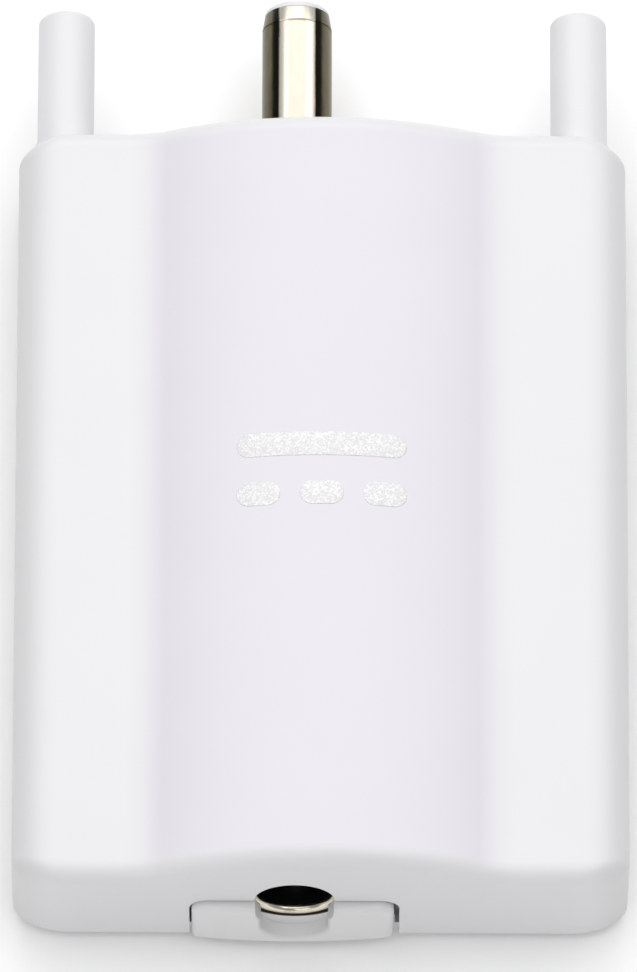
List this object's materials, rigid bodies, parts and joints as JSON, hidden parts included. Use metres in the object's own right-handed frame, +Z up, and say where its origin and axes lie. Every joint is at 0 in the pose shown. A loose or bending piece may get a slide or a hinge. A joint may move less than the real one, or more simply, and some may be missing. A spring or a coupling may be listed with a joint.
{
  "type": "plug-in power meter",
  "caption": "Slim white inline DC power meter module with a crowned front, a barrel plug between guide pins at one end and a matching barrel jack at the other.",
  "frame": {"origin": "middle of the module's footprint, plug included, on the plane of its flat back", "axes": "+X across the case with the plug offset towards -X, +Y along the case towards the plug, +Z up through the crowned front"},
  "size_m": [0.0476, 0.0764, 0.0157],
  "materials": {
    "shell_white": "satin moulded white plastic",
    "cover_white": "satin moulded white plastic",
    "pin_white": "satin moulded white plastic",
    "ring_white": "white insulating ring",
    "nickel": "turned and nickel plated",
    "contact_brass": "plain brass strip",
    "spring_bronze": "stamped bronze strip",
    "connector_black": "moulded black plastic",
    "zinc_steel": "zinc plated steel",
    "board_green": "green solder mask on glass laminate",
    "chip_black": "moulded epoxy",
    "shunt_metal": "bare resistance alloy",
    "ferrite_grey": "pressed ferrite",
    "shield_tin": "tinned sheet",
    "ceramic_white": "fired ceramic",
    "ceramic_tan": "fired ceramic",
    "can_aluminium": "drawn can",
    "fuse_olive": "polymer laminate"
  },
  "bodies": {
    "module": {"front_shell": "shell_white", "rear_cover": "cover_white", "cover_screws": "zinc_steel", "guide_pin_left": "pin_white", "guide_pin_right": "pin_white", "circuit_board": "board_green", "board_screws": "zinc_steel", "plug_body": "connector_black", "plug_sleeve": "nickel", "plug_insulator": "ring_white", "plug_inner_contact": "contact_brass", "plug_sleeve_tail": "nickel", "plug_contact_tail": "contact_brass", "jack_body": "connector_black", "jack_rim": "nickel", "jack_centre_pin": "nickel", "jack_spring_tail": "spring_bronze", "jack_switch_contact": "spring_bronze", "jack_pin_tail": "contact_brass", "shunt_resistor": "shunt_metal", "meter_chip": "chip_black", "regulator_chip": "chip_black", "power_inductor": "ferrite_grey", "radio_board": "board_green", "radio_shield": "shield_tin", "chip_antenna": "ceramic_white", "clock_crystal": "shield_tin", "input_capacitor": "can_aluminium", "capacitor_base": "chip_black", "surge_diode": "chip_black", "input_fuse": "fuse_olive", "ceramic_capacitors": "ceramic_tan", "chip_resistors": "chip_black"},
    "sleeve_spring": {"jack_sleeve_spring": "spring_bronze"}
  },
  "joints": [
    {"name": "sleeve_spring_flex", "type": "hinge", "parent": "module", "child": "sleeve_spring", "pos_m": [0.00145, -0.02522, 0.00765], "axis": [0, 0, 1], "range_deg": [0, 5], "stiffness_Nm_per_rad": 0.3}
  ]
}
